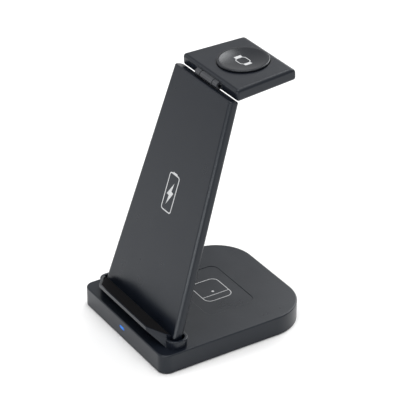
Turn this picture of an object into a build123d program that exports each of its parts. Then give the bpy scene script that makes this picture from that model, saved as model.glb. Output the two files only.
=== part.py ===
"""Three-in-one wireless charging stand, in millimetres.

A weighted base with an earbud rest carries a leaning phone panel. The panel's foot
stands in a collar with a phone ledge, and a watch platform is hinged to its top end.
The origin is under the middle of the base, on the surface that the feet stand on.
+X is the right-hand side of someone facing the panel, +Y is the rear and +Z is up.
"""
from build123d import *
from math import cos, radians, sin, tan
import os

os.makedirs("parts", exist_ok=True)

# Base shell and bottom cover
base_width = 92.8
base_depth = 104.2
base_height = 11.9
base_front_radius = 6.0
base_rear_radius = 25.0
base_edge_radius = 0.8
base_wall = 2.0
base_roof = 2.0
cover_thickness = 1.8
cover_clearance = 0.15
rest_width = 46.8
rest_depth = 32.9
rest_recess = 0.25
rest_corner_radius = 5.0
rest_edge_radius = 0.2
rest_middle_y = 10.1

# Rubber feet
foot_diameter = 10.0
foot_thickness = 1.2
foot_sink = 0.6
foot_edge_radius = 0.25
foot_inset = 9.5
front_foot_spacing = 54.0
rear_foot_spacing = 42.0
foot_clearance = 0.1

# Base screws and the posts that they bite into
base_screw_diameter = 2.2
base_screw_head = 4.2
base_screw_head_height = 1.0
base_screw_length = 6.0
post_diameter = 5.6
post_inset = 7.0
screw_clearance = 0.05
screw_recess_width = 0.6
screw_recess_length = 2.0
screw_recess_depth = 0.35

# Ballast plate, on the bottom cover at the front
ballast_width = 62.0
ballast_depth = 48.0
ballast_thickness = 3.0
ballast_corner_radius = 3.0
ballast_front_gap = 9.0

# Main circuit board with the power inlet at the rear
board_width = 46.0
board_depth = 28.0
board_thickness = 1.2
board_standoff = 2.0
board_standoff_diameter = 4.0
board_rear_gap = 3.5
inlet_width = 8.9
inlet_height = 3.2
inlet_depth = 7.4
inlet_wall = 0.3
inlet_tongue_thickness = 0.7
inlet_setback = 0.5
inlet_clearance = 0.3
choke_size = 6.6
choke_height = 2.6
choke_corner_radius = 1.3
choke_spacing = 30.6
chip_size = 5.0
chip_height = 0.9
chip_spacing = 9.0
component_row = 4.6
capacitor_size = 3.2
capacitor_height = 2.0
capacitor_spacing = 4.8
capacitor_offset = 11.5
capacitor_row = 7.0

# Indicator on the front face
lens_width = 5.4
lens_height = 1.9
lens_middle_height = 6.7
lens_flange_width = 8.0
lens_flange_height = 4.0
lens_flange_depth = 1.0
lens_clearance = 0.05
indicator_board_width = 14.0
indicator_board_height = 5.0
indicator_board_thickness = 1.0

# Earbud coil under the rest
earbud_coil_outer = 30.0
earbud_coil_inner = 12.0
earbud_coil_thickness = 1.0
earbud_ferrite_size = 34.0
ferrite_thickness = 0.6

# Leaning phone panel
panel_lean = 17.7
panel_setback = 10.3
panel_length = 147.5
panel_foot_width = 80.1
panel_top_width = 59.9
panel_thickness = 6.4
panel_edge_radius = 2.4
panel_end_radius = 0.8
panel_wall = 1.8
panel_side_wall = 1.6
panel_foot_block = 12.0
front_shell_depth = 3.2
rear_cover_wall = 1.2
cover_rim_height = 1.2
cover_rim_thickness = 1.0
cover_rim_clearance = 0.1

# Screws up into the panel's foot, and the way for the coil leads
foot_screw_diameter = 2.2
foot_screw_head = 4.2
foot_screw_head_height = 1.2
foot_screw_length = 8.5
foot_screw_spacing = 18.0
lead_way_width = 9.0
lead_way_depth = 2.4

# Foot collar and phone ledge
collar_height = 4.9
collar_side_gap = 1.4
collar_end_gap = 0.6
collar_corner_radius = 5.5
collar_rim_radius = 0.5
collar_wall = 1.9
collar_floor = 1.0
ledge_height = 7.0
ledge_reach = 12.6
ledge_root_reach = 4.4
ledge_root_width = 74.0
ledge_front_width = 54.0
ledge_face_height = 2.3
ledge_foot_reach = 0.4
ledge_lip_height = 1.1
ledge_lip_thickness = 1.1
ledge_gap = 0.4
pad_thickness = 0.9
pad_clearance = 0.4

# Phone coils
phone_coil_outer = 44.0
phone_coil_inner = 20.0
phone_coil_thickness = 1.0
phone_coil_spacing = 30.0
phone_coil_middle = 79.0
phone_ferrite_width = 46.0
phone_ferrite_length = 78.0
rib_thickness = 1.2
rib_spacing = 24.0

# Hinge between the panel's top end and the watch platform
hinge_rise = 2.5
hinge_depth = 4.1
barrel_diameter = 4.6
pin_diameter = 1.8
pin_fit = 0.02
pin_running_clearance = 0.05
centre_knuckle_length = 12.0
outer_knuckle_length = 4.6
washer_diameter = 3.8
washer_thickness = 0.5
washer_clearance = 0.05
knuckle_clearance = 0.35
leaf_thickness = 0.9
leaf_width = 26.0
leaf_length = 9.0
leaf_gap = 0.3
slot_clearance = 0.2
bracket_screw_diameter = 1.6
bracket_screw_head = 3.0
bracket_screw_head_height = 0.5
bracket_screw_length = 2.4
bracket_screw_spacing = 21.0
bracket_boss_diameter = 4.0

# Watch platform
platform_pitch = 2.75
platform_gap = 0.4
platform_length = 41.6
platform_front_width = 57.6
platform_rear_width = 51.7
platform_thickness = 7.3
platform_front_radius = 2.0
platform_rear_radius = 3.0
platform_tail_radius = 2.0
platform_side_radius = 1.8
platform_wall = 1.6
platform_side_wall = 1.6
platform_cover_thickness = 1.4
hinge_land_width = 27.0
hinge_land_depth = 2.6
hinge_land_clearance = 0.1
platform_screw_diameter = 1.6
platform_screw_head = 3.0
platform_screw_head_height = 0.7
platform_screw_length = 2.6
platform_screw_inset = 5.6
platform_post_diameter = 4.0

# Watch puck and what lies under it
puck_diameter = 30.6
puck_height = 1.2
puck_edge_radius = 0.5
puck_rear_margin = 3.4
puck_clearance = 0.35
puck_flange_width = 2.0
puck_flange_thickness = 1.0
dish_diameter = 27.4
dish_depth = 1.3
dish_wall = 1.0
watch_coil_outer = 22.0
watch_coil_inner = 10.4
watch_coil_thickness = 1.0
watch_magnet_diameter = 9.0
watch_magnet_clearance = 0.2
watch_ferrite_diameter = 26.0
watch_board_diameter = 25.0
watch_board_thickness = 0.8
watch_board_gap = 0.4
pillar_diameter = 2.0
pillar_spacing = 12.5

# Heights and planes that the pieces share
base_under = foot_thickness - foot_sink
base_top = base_under + base_height
cover_top = base_under + cover_thickness
roof_under = base_top - base_roof
base_front = -base_depth / 2
base_rear = base_depth / 2
board_under = cover_top + board_standoff
board_top = board_under + board_thickness

lean = radians(panel_lean)
pitch = radians(platform_pitch)
panel_up = Vector(0, sin(lean), cos(lean))
panel_front = Vector(0, -cos(lean), sin(lean))
platform_rear = Vector(0, cos(pitch), sin(pitch))
platform_up = Vector(0, -sin(pitch), cos(pitch))

panel_foot = Vector(0, base_front + panel_setback, base_top)
panel_face = Plane(origin=panel_foot, x_dir=(1, 0, 0), z_dir=panel_front)
panel_seat = Plane.XY.offset(base_top + collar_floor)
ledge_plane = Plane(origin=panel_foot + panel_up * ledge_height, x_dir=(1, 0, 0), z_dir=panel_up)

panel_middle_y = panel_foot.Y + panel_thickness / 2 / cos(lean)
collar_middle_y = panel_middle_y + collar_height * tan(lean) / 2
collar_width = panel_foot_width + 2 * (collar_side_gap + collar_wall)
collar_depth = (
    panel_thickness / cos(lean) + collar_height * tan(lean) + 2 * (collar_end_gap + collar_wall)
)

hinge_axis = panel_foot + panel_up * (panel_length + hinge_rise) - panel_front * hinge_depth
panel_hinge = Plane(origin=hinge_axis, x_dir=-panel_front, z_dir=(1, 0, 0))
platform_hinge = Plane(origin=hinge_axis, x_dir=platform_rear, z_dir=(1, 0, 0))
platform_face = Plane(
    origin=hinge_axis + platform_up * hinge_depth, x_dir=(1, 0, 0), z_dir=platform_up
)
platform_tail = platform_gap + platform_length
puck_setback = platform_tail - puck_rear_margin - puck_diameter / 2
puck_middle = hinge_axis + platform_up * hinge_depth + platform_rear * puck_setback
puck_face = Plane(origin=puck_middle, x_dir=(1, 0, 0), z_dir=platform_up)
puck_section = Plane(origin=puck_middle, x_dir=(1, 0, 0), z_dir=-platform_rear)


def draw_base_plan(inset):
    """Draws the base's plan in the open sketch, drawn in by the inset all round."""
    Rectangle(base_width - 2 * inset, base_depth - 2 * inset)
    fillet(vertices().group_by(Axis.Y)[0], base_front_radius - inset)
    fillet(vertices().group_by(Axis.Y)[-1], base_rear_radius - inset)


def make_screws(places, head, head_height, shank, length):
    """Round-headed screws with a cross recess: each place is the head's seat, facing outwards."""
    with BuildPart() as screws:
        for place in places:
            with BuildSketch(place):
                Circle(head / 2)
            extrude(amount=head_height)
            with BuildSketch(place):
                Circle(shank / 2)
            extrude(amount=-length)
            with BuildSketch(place.offset(head_height)):
                Rectangle(screw_recess_length, screw_recess_width)
                Rectangle(screw_recess_width, screw_recess_length)
            extrude(amount=-screw_recess_depth, mode=Mode.SUBTRACT)
    return screws.part


# Base top shell: moulded tray, open below, with four screw posts and the earbud rest
rear_corner_x = base_width / 2 - base_rear_radius
rear_corner_y = base_depth / 2 - base_rear_radius
rear_post_reach = (base_rear_radius - post_inset) * cos(radians(45))
post_places = [
    (side * x, y)
    for side in (-1, 1)
    for x, y in (
        (base_width / 2 - post_inset, base_front + post_inset),
        (rear_corner_x + rear_post_reach, rear_corner_y + rear_post_reach),
    )
]
post_height = roof_under - cover_top
foot_block_depth = panel_thickness - rear_cover_wall - cover_rim_clearance
foot_screw_bite = foot_screw_length - base_roof - collar_floor
foot_screw_height = collar_floor + foot_screw_bite / 2
foot_screw_y = panel_foot.Y + foot_block_depth / 2 / cos(lean) + foot_screw_height * tan(lean)
foot_screw_places = [(n * foot_screw_spacing, foot_screw_y) for n in (-1.5, -0.5, 0.5, 1.5)]
inlet_middle = (0, board_top + inlet_height / 2)
lens_middle = (0, base_under + lens_middle_height)

with BuildPart() as base_top_shell:
    with BuildSketch(Plane.XY.offset(base_under)):
        draw_base_plan(0)
    extrude(amount=base_height)
    fillet(faces().sort_by(Axis.Z)[-1].edges(), base_edge_radius)
    with BuildSketch(Plane.XY.offset(base_under)):
        draw_base_plan(base_wall)
    extrude(amount=base_height - base_roof, mode=Mode.SUBTRACT)
    with BuildSketch(Plane.XY.offset(base_top)):
        with Locations((0, rest_middle_y)):
            RectangleRounded(rest_width, rest_depth, rest_corner_radius)
    extrude(amount=-rest_recess, mode=Mode.SUBTRACT)
    fillet(faces().sort_by(Axis.Z)[-1].inner_wires()[0].edges(), rest_edge_radius)
    with BuildSketch(Plane.XY.offset(cover_top)):
        with Locations(*post_places):
            Circle(post_diameter / 2)
    extrude(amount=post_height)
    with BuildSketch(Plane.XY.offset(cover_top)):
        with Locations(*post_places):
            Circle(base_screw_diameter / 2 + screw_clearance)
    extrude(amount=base_screw_length, mode=Mode.SUBTRACT)
    with BuildSketch(Plane.XY.offset(base_top)):
        with Locations(*foot_screw_places):
            Circle(foot_screw_diameter / 2 + screw_clearance)
        with Locations((0, panel_middle_y)):
            Rectangle(lead_way_width, lead_way_depth)
    extrude(amount=-base_roof, mode=Mode.SUBTRACT)
    with BuildSketch(Plane.XZ.offset(-base_rear)):
        with Locations(inlet_middle):
            SlotOverall(inlet_width + 2 * inlet_clearance, inlet_height + 2 * inlet_clearance)
    extrude(amount=base_wall, mode=Mode.SUBTRACT)
    with BuildSketch(Plane.XZ.offset(-base_front)):
        with Locations(lens_middle):
            SlotOverall(lens_width + 2 * lens_clearance, lens_height + 2 * lens_clearance)
    extrude(amount=-base_wall, mode=Mode.SUBTRACT)
base_top_shell.part.label = "base_top_shell"
export_step(base_top_shell.part, "parts/base_top_shell.step")

# Base bottom cover: flat plate inside the shell's walls, with sunk screw holes and foot pockets
foot_places = [
    (side * spacing / 2, y)
    for side in (-1, 1)
    for spacing, y in (
        (front_foot_spacing, base_front + foot_inset),
        (rear_foot_spacing, base_rear - foot_inset),
    )
]
board_middle_y = base_rear - base_wall - board_rear_gap - board_depth / 2
standoff_places = [
    (side_x * (board_width - board_standoff_diameter) / 2,
     board_middle_y + side_y * (board_depth - board_standoff_diameter) / 2)
    for side_x in (-1, 1)
    for side_y in (-1, 1)
]
with BuildPart() as base_bottom_cover:
    with BuildSketch(Plane.XY.offset(base_under)):
        draw_base_plan(base_wall + cover_clearance)
    extrude(amount=cover_thickness)
    with BuildSketch(Plane.XY.offset(cover_top)):
        with Locations(*standoff_places):
            Circle(board_standoff_diameter / 2)
    extrude(amount=board_standoff)
    with BuildSketch(Plane.XY.offset(base_under)):
        with Locations(*foot_places):
            Circle(foot_diameter / 2 + foot_clearance)
    extrude(amount=foot_sink, mode=Mode.SUBTRACT)
    with BuildSketch(Plane.XY.offset(base_under)):
        with Locations(*post_places):
            Circle(base_screw_head / 2 + foot_clearance)
    extrude(amount=base_screw_head_height, mode=Mode.SUBTRACT)
    with BuildSketch(Plane.XY.offset(base_under)):
        with Locations(*post_places):
            Circle(base_screw_diameter / 2 + screw_clearance)
    extrude(amount=cover_thickness, mode=Mode.SUBTRACT)
base_bottom_cover.part.label = "base_bottom_cover"
export_step(base_bottom_cover.part, "parts/base_bottom_cover.step")

# Rubber feet, stuck into the cover's pockets
with BuildPart() as base_feet:
    with BuildSketch(Plane.XY):
        with Locations(*foot_places):
            Circle(foot_diameter / 2)
    extrude(amount=foot_thickness)
    fillet(edges().filter_by(GeomType.CIRCLE).group_by(Axis.Z)[0], foot_edge_radius)
base_feet.part.label = "base_feet"
export_step(base_feet.part, "parts/base_feet.step")

# Screws that close the base, driven up from below
base_screw_seats = [
    Plane(origin=(x, y, base_under + base_screw_head_height), x_dir=(1, 0, 0), z_dir=(0, 0, -1))
    for x, y in post_places
]
with BuildPart() as base_screws:
    add(
        make_screws(
            base_screw_seats,
            base_screw_head,
            base_screw_head_height,
            base_screw_diameter,
            base_screw_length,
        )
    )
base_screws.part.label = "base_screws"
export_step(base_screws.part, "parts/base_screws.step")

# Steel ballast plate, glued to the bottom cover
with BuildPart() as ballast_plate:
    with BuildSketch(Plane.XY.offset(cover_top)):
        with Locations((0, base_front + ballast_front_gap)):
            Rectangle(ballast_width, ballast_depth, align=(Align.CENTER, Align.MIN))
        fillet(vertices(), ballast_corner_radius)
    extrude(amount=ballast_thickness)
ballast_plate.part.label = "ballast_plate"
export_step(ballast_plate.part, "parts/ballast_plate.step")

# Main circuit board with its larger components, on the cover's standoffs
with BuildPart() as main_circuit_board:
    with BuildSketch(Plane.XY.offset(board_under)):
        with Locations((0, board_middle_y)):
            Rectangle(board_width, board_depth)
    extrude(amount=board_thickness)
    with BuildSketch(Plane.XY.offset(board_top)):
        with Locations((0, board_middle_y - component_row)):
            with GridLocations(choke_spacing, choke_size, 2, 1):
                RectangleRounded(choke_size, choke_size, choke_corner_radius)
    extrude(amount=choke_height)
    with BuildSketch(Plane.XY.offset(board_top)):
        with Locations((0, board_middle_y - component_row)):
            with GridLocations(chip_spacing, chip_size, 2, 1):
                Rectangle(chip_size, chip_size)
    extrude(amount=chip_height)
    with BuildSketch(Plane.XY.offset(board_top)):
        with Locations((-capacitor_offset, board_middle_y + capacitor_row)):
            with GridLocations(capacitor_spacing, capacitor_size, 2, 1):
                Rectangle(capacitor_size, capacitor_size)
    extrude(amount=capacitor_height)
main_circuit_board.part.label = "main_circuit_board"
export_step(main_circuit_board.part, "parts/main_circuit_board.step")

# Power inlet: pressed steel shell with a contact tongue, soldered to the board's rear edge
inlet_mouth = Plane.XZ.offset(-(base_rear - inlet_setback))
inlet_opening_width = inlet_width - 2 * inlet_wall
inlet_opening_height = inlet_height - 2 * inlet_wall
with BuildPart() as power_inlet:
    with BuildSketch(inlet_mouth):
        with Locations(inlet_middle):
            SlotOverall(inlet_width, inlet_height)
    extrude(amount=inlet_depth)
    with BuildSketch(inlet_mouth):
        with Locations(inlet_middle):
            SlotOverall(inlet_opening_width, inlet_opening_height)
    extrude(amount=inlet_depth - inlet_wall, mode=Mode.SUBTRACT)
    with BuildSketch(inlet_mouth.offset(inlet_depth - inlet_wall)):
        with Locations(inlet_middle):
            Rectangle(inlet_opening_width - inlet_opening_height, inlet_tongue_thickness)
    extrude(amount=-(inlet_depth - 2 * inlet_wall - inlet_setback))
power_inlet.part.label = "power_inlet"
export_step(power_inlet.part, "parts/power_inlet.step")

# Indicator lens: clear light pipe through the front wall, with a flange behind it
inner_front = base_front + base_wall
with BuildPart() as indicator_lens:
    with BuildSketch(Plane.XZ.offset(-base_front)):
        with Locations(lens_middle):
            SlotOverall(lens_width, lens_height)
    extrude(amount=-base_wall)
    with BuildSketch(Plane.XZ.offset(-inner_front)):
        with Locations(lens_middle):
            Rectangle(lens_flange_width, lens_flange_height)
    extrude(amount=-lens_flange_depth)
indicator_lens.part.label = "indicator_lens"
export_step(indicator_lens.part, "parts/indicator_lens.step")

# Indicator board, glued behind the lens's flange
with BuildPart() as indicator_board:
    with BuildSketch(Plane.XZ.offset(-(inner_front + lens_flange_depth))):
        with Locations(lens_middle):
            Rectangle(indicator_board_width, indicator_board_height)
    extrude(amount=-indicator_board_thickness)
indicator_board.part.label = "indicator_board"
export_step(indicator_board.part, "parts/indicator_board.step")

# Earbud coil and its ferrite sheet, glued under the roof below the rest
with BuildPart() as earbud_coil:
    with BuildSketch(Plane.XY.offset(roof_under)):
        with Locations((0, rest_middle_y)):
            Circle(earbud_coil_outer / 2)
            Circle(earbud_coil_inner / 2, mode=Mode.SUBTRACT)
    extrude(amount=-earbud_coil_thickness)
earbud_coil.part.label = "earbud_coil"
export_step(earbud_coil.part, "parts/earbud_coil.step")

with BuildPart() as earbud_ferrite:
    with BuildSketch(Plane.XY.offset(roof_under - earbud_coil_thickness)):
        with Locations((0, rest_middle_y)):
            Rectangle(earbud_ferrite_size, earbud_ferrite_size)
    extrude(amount=-ferrite_thickness)
earbud_ferrite.part.label = "earbud_ferrite"
export_step(earbud_ferrite.part, "parts/earbud_ferrite.step")

# Foot collar: wall round the panel's foot, with a floor that the panel stands on and a ledge
# for the phone, square to the panel, whose flared body grows out of the wall's front
collar_front = collar_middle_y - collar_depth / 2
collar_inner_reach = (ledge_plane.origin.Y - collar_front - collar_wall) / cos(lean)
ledge_under = Plane(
    origin=ledge_plane.origin - Vector(0, 0, ledge_face_height), x_dir=(1, 0, 0), z_dir=panel_up
)
ledge_corners = [
    (-ledge_root_width / 2, -ledge_gap),
    (-ledge_root_width / 2, -ledge_root_reach),
    (-ledge_front_width / 2, -ledge_reach),
    (ledge_front_width / 2, -ledge_reach),
    (ledge_root_width / 2, -ledge_root_reach),
    (ledge_root_width / 2, -ledge_gap),
]
ledge_foot_half_width = collar_width / 2 - collar_corner_radius
ledge_foot_inner = panel_foot.Y - ledge_gap / cos(lean)
ledge_foot_corners = [
    (-ledge_foot_half_width, ledge_foot_inner),
    (-ledge_foot_half_width, collar_front),
    (ledge_foot_reach - ledge_foot_half_width, collar_front - ledge_foot_reach),
    (ledge_foot_half_width - ledge_foot_reach, collar_front - ledge_foot_reach),
    (ledge_foot_half_width, collar_front),
    (ledge_foot_half_width, ledge_foot_inner),
]
with BuildPart() as ledge_body:
    with BuildSketch(ledge_plane):
        Polygon(*ledge_corners, align=None)
    extrude(amount=ledge_face_height, dir=(0, 0, -1))
    with BuildSketch(ledge_under):
        Polygon(*ledge_corners, align=None)
    with BuildSketch(Plane.XY.offset(base_top)):
        Polygon(*ledge_foot_corners, align=None)
    loft(ruled=True)
    split(bisect_by=panel_face.offset(ledge_gap), keep=Keep.TOP)
with BuildPart() as foot_collar:
    with BuildSketch(Plane.XY.offset(base_top)):
        with Locations((0, collar_middle_y)):
            RectangleRounded(collar_width, collar_depth, collar_corner_radius)
    extrude(amount=collar_height)
    with BuildSketch(panel_seat):
        with Locations((0, collar_middle_y)):
            RectangleRounded(
                collar_width - 2 * collar_wall,
                collar_depth - 2 * collar_wall,
                collar_corner_radius - collar_wall,
            )
    extrude(amount=collar_height, mode=Mode.SUBTRACT)
    fillet(faces().sort_by(Axis.Z)[-1].edges(), collar_rim_radius)
    add(ledge_body.part)
    with BuildSketch(ledge_plane):
        Polygon(*ledge_corners, align=None)
        offset(amount=-ledge_lip_thickness, kind=Kind.INTERSECTION)
        with Locations((0, -ledge_gap)):
            Rectangle(
                ledge_root_width,
                collar_inner_reach - ledge_gap,
                align=(Align.CENTER, Align.MAX),
            )
    extrude(amount=-ledge_lip_height, mode=Mode.SUBTRACT)
    with BuildSketch(Plane.XY.offset(base_top)):
        with Locations(*foot_screw_places):
            Circle(foot_screw_diameter / 2 + screw_clearance)
        with Locations((0, panel_middle_y)):
            Rectangle(lead_way_width, lead_way_depth)
    extrude(amount=collar_floor, mode=Mode.SUBTRACT)
foot_collar.part.label = "foot_collar"
export_step(foot_collar.part, "parts/foot_collar.step")

# Grip pad in the ledge's floor
with BuildPart() as ledge_pad:
    with BuildSketch(ledge_plane.offset(-ledge_lip_height)):
        Polygon(*ledge_corners, align=None)
        offset(amount=-(ledge_lip_thickness + pad_clearance), kind=Kind.INTERSECTION)
    extrude(amount=pad_thickness)
ledge_pad.part.label = "ledge_pad"
export_step(ledge_pad.part, "parts/ledge_pad.step")

# The panel's outline runs on below the base's top, and is cut level where it stands on the collar
panel_taper = (panel_foot_width - panel_top_width) / 2 / panel_length
panel_tail = panel_thickness
tail_half_width = panel_foot_width / 2 + panel_tail * panel_taper
panel_corners = [
    (-tail_half_width, -panel_tail),
    (tail_half_width, -panel_tail),
    (panel_top_width / 2, panel_length),
    (-panel_top_width / 2, panel_length),
]


def make_panel_block():
    """The whole panel as one plate, with its long edges and its top end rounded."""
    with BuildPart() as block:
        with BuildSketch(panel_face):
            Polygon(*panel_corners, align=None)
        extrude(amount=-panel_thickness)
        fillet(edges().sort_by(SortBy.LENGTH)[-4:], panel_edge_radius)
        fillet(faces().sort_by(Axis(panel_foot, panel_up))[-1].edges(), panel_end_radius)
    return block.part


# Panel front shell: the panel's face and the front half of its sides, with a solid foot for the screws
rear_side_wall = panel_side_wall + cover_rim_clearance + cover_rim_thickness
washer_gap = washer_thickness + 2 * washer_clearance
outer_knuckle_middle = centre_knuckle_length / 2 + washer_gap + outer_knuckle_length / 2
barrel_length = centre_knuckle_length + 2 * washer_gap + 2 * outer_knuckle_length
leaf_front_depth = hinge_depth - leaf_thickness / 2
panel_leaf_start = hinge_rise + rear_side_wall + leaf_gap
panel_screw_up = panel_length + hinge_rise - panel_leaf_start - leaf_length / 2
panel_screw_places = [(side * bracket_screw_spacing / 2, panel_screw_up) for side in (-1, 1)]
panel_boss_depth = leaf_front_depth - panel_wall
with BuildPart() as panel_front_shell:
    add(make_panel_block())
    split(bisect_by=panel_face.offset(-front_shell_depth), keep=Keep.TOP)
    with BuildSketch(panel_face.offset(-panel_wall)):
        Polygon(*panel_corners, align=None)
        offset(amount=-panel_side_wall, kind=Kind.INTERSECTION)
        with Locations((0, panel_foot_block)):
            Rectangle(
                2 * panel_foot_width,
                2 * (panel_foot_block + panel_tail),
                align=(Align.CENTER, Align.MAX),
                mode=Mode.SUBTRACT,
            )
    extrude(amount=-(front_shell_depth - panel_wall), mode=Mode.SUBTRACT)
    with BuildSketch(panel_face.offset(-front_shell_depth)):
        Polygon(*panel_corners, align=None)
        offset(amount=-(rear_side_wall + cover_rim_clearance), kind=Kind.INTERSECTION)
        with Locations((0, panel_foot_block)):
            Rectangle(
                2 * panel_foot_width,
                panel_length,
                align=(Align.CENTER, Align.MIN),
                mode=Mode.SUBTRACT,
            )
    extrude(amount=-(foot_block_depth - front_shell_depth))
    with BuildSketch(panel_face.offset(-panel_wall)):
        with Locations(*panel_screw_places):
            Circle(bracket_boss_diameter / 2)
    extrude(amount=-panel_boss_depth)
    with BuildSketch(panel_face.offset(-leaf_front_depth)):
        with Locations(*panel_screw_places):
            Circle(bracket_screw_diameter / 2 + screw_clearance)
    extrude(amount=panel_boss_depth, mode=Mode.SUBTRACT)
    split(bisect_by=panel_seat, keep=Keep.TOP)
    with BuildSketch(panel_seat):
        with Locations(*foot_screw_places):
            Circle(foot_screw_diameter / 2 + screw_clearance)
    extrude(amount=foot_screw_bite, mode=Mode.SUBTRACT)
    with BuildSketch(panel_seat):
        with Locations((0, panel_middle_y)):
            Rectangle(lead_way_width, lead_way_depth)
    extrude(amount=panel_foot_block, dir=panel_up, mode=Mode.SUBTRACT)
panel_front_shell.part.label = "panel_front_shell"
export_step(panel_front_shell.part, "parts/panel_front_shell.step")

# Panel rear cover: the rear half of the panel, open at its foot, with a rim that clips inside the
# front shell, ribs behind the ferrite and slots for the hinge's knuckles
phone_stack_depth = panel_wall + 2 * phone_coil_thickness + ferrite_thickness
rear_cover_inside = panel_thickness - rear_cover_wall
with BuildPart() as panel_rear_cover:
    add(make_panel_block())
    split(bisect_by=panel_face.offset(-front_shell_depth), keep=Keep.BOTTOM)
    with BuildSketch(panel_face.offset(-front_shell_depth)):
        Polygon(*panel_corners, align=None)
        offset(amount=-rear_side_wall, kind=Kind.INTERSECTION)
    extrude(amount=-(rear_cover_inside - front_shell_depth), mode=Mode.SUBTRACT)
    with BuildSketch(panel_face.offset(-front_shell_depth)):
        Polygon(*panel_corners, align=None)
        offset(amount=-(panel_side_wall + cover_rim_clearance), kind=Kind.INTERSECTION)
        offset(amount=-cover_rim_thickness, kind=Kind.INTERSECTION, mode=Mode.SUBTRACT)
        with Locations((0, panel_foot_block + cover_rim_clearance)):
            Rectangle(
                2 * panel_foot_width,
                2 * (panel_foot_block + panel_tail),
                align=(Align.CENTER, Align.MAX),
                mode=Mode.SUBTRACT,
            )
    extrude(amount=cover_rim_height)
    with BuildSketch(panel_face.offset(-rear_cover_inside)):
        with Locations((0, phone_coil_middle)):
            with GridLocations(rib_spacing, phone_ferrite_length, 2, 1):
                Rectangle(rib_thickness, phone_ferrite_length)
    extrude(amount=rear_cover_inside - phone_stack_depth)
    for side in (-1, 1):
        with BuildSketch(panel_hinge.offset(side * outer_knuckle_middle)):
            Rectangle(
                leaf_thickness + 2 * slot_clearance,
                panel_leaf_start,
                align=(Align.CENTER, Align.MAX),
            )
        extrude(amount=outer_knuckle_length / 2 + slot_clearance, both=True, mode=Mode.SUBTRACT)
    split(bisect_by=panel_seat, keep=Keep.TOP)
panel_rear_cover.part.label = "panel_rear_cover"
export_step(panel_rear_cover.part, "parts/panel_rear_cover.step")

# Screws from under the base's roof through the collar's floor into the panel's foot
foot_screw_seats = [
    Plane(origin=(x, y, roof_under), x_dir=(1, 0, 0), z_dir=(0, 0, -1)) for x, y in foot_screw_places
]
with BuildPart() as panel_foot_screws:
    add(
        make_screws(
            foot_screw_seats,
            foot_screw_head,
            foot_screw_head_height,
            foot_screw_diameter,
            foot_screw_length,
        )
    )
panel_foot_screws.part.label = "panel_foot_screws"
export_step(panel_foot_screws.part, "parts/panel_foot_screws.step")

# Two overlapping phone coils, one layer each, and the ferrite sheet behind them
with BuildPart() as phone_coil_lower:
    with BuildSketch(panel_face.offset(-panel_wall)):
        with Locations((0, phone_coil_middle - phone_coil_spacing / 2)):
            Circle(phone_coil_outer / 2)
            Circle(phone_coil_inner / 2, mode=Mode.SUBTRACT)
    extrude(amount=-phone_coil_thickness)
phone_coil_lower.part.label = "phone_coil_lower"
export_step(phone_coil_lower.part, "parts/phone_coil_lower.step")

with BuildPart() as phone_coil_upper:
    with BuildSketch(panel_face.offset(-panel_wall - phone_coil_thickness)):
        with Locations((0, phone_coil_middle + phone_coil_spacing / 2)):
            Circle(phone_coil_outer / 2)
            Circle(phone_coil_inner / 2, mode=Mode.SUBTRACT)
    extrude(amount=-phone_coil_thickness)
phone_coil_upper.part.label = "phone_coil_upper"
export_step(phone_coil_upper.part, "parts/phone_coil_upper.step")

with BuildPart() as phone_ferrite:
    with BuildSketch(panel_face.offset(-panel_wall - 2 * phone_coil_thickness)):
        with Locations((0, phone_coil_middle)):
            Rectangle(phone_ferrite_width, phone_ferrite_length)
    extrude(amount=-ferrite_thickness)
phone_ferrite.part.label = "phone_ferrite"
export_step(phone_ferrite.part, "parts/phone_ferrite.step")

# Panel hinge bracket: two outer knuckles on a leaf that is screwed inside the panel's top end
with BuildPart() as panel_hinge_bracket:
    for side in (-1, 1):
        with BuildSketch(panel_hinge.offset(side * outer_knuckle_middle)):
            Circle(barrel_diameter / 2)
            Rectangle(leaf_thickness, panel_leaf_start, align=(Align.CENTER, Align.MAX))
        extrude(amount=outer_knuckle_length / 2, both=True)
    with BuildSketch(panel_hinge):
        with Locations((0, -panel_leaf_start)):
            Rectangle(leaf_thickness, leaf_length, align=(Align.CENTER, Align.MAX))
    extrude(amount=leaf_width / 2, both=True)
    with BuildSketch(panel_hinge):
        Circle(pin_diameter / 2 + pin_fit)
    extrude(amount=barrel_length, both=True, mode=Mode.SUBTRACT)
    with BuildSketch(panel_face.offset(-leaf_front_depth)):
        with Locations(*panel_screw_places):
            Circle(bracket_screw_diameter / 2 + screw_clearance)
    extrude(amount=-leaf_thickness, mode=Mode.SUBTRACT)
panel_hinge_bracket.part.label = "panel_hinge_bracket"
export_step(panel_hinge_bracket.part, "parts/panel_hinge_bracket.step")

panel_screw_seats = [
    Plane(origin=panel_face.from_local_coords((x, y, -leaf_front_depth - leaf_thickness)),
          x_dir=(1, 0, 0), z_dir=-panel_front)
    for x, y in panel_screw_places
]
with BuildPart() as panel_bracket_screws:
    add(
        make_screws(
            panel_screw_seats,
            bracket_screw_head,
            bracket_screw_head_height,
            bracket_screw_diameter,
            bracket_screw_length,
        )
    )
panel_bracket_screws.part.label = "panel_bracket_screws"
export_step(panel_bracket_screws.part, "parts/panel_bracket_screws.step")

# Hinge pin, held in the outer knuckles, and the friction washers beside the centre knuckle
with BuildPart() as hinge_pin:
    with BuildSketch(panel_hinge):
        Circle(pin_diameter / 2)
    extrude(amount=barrel_length / 2, both=True)
hinge_pin.part.label = "hinge_pin"
export_step(hinge_pin.part, "parts/hinge_pin.step")

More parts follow.
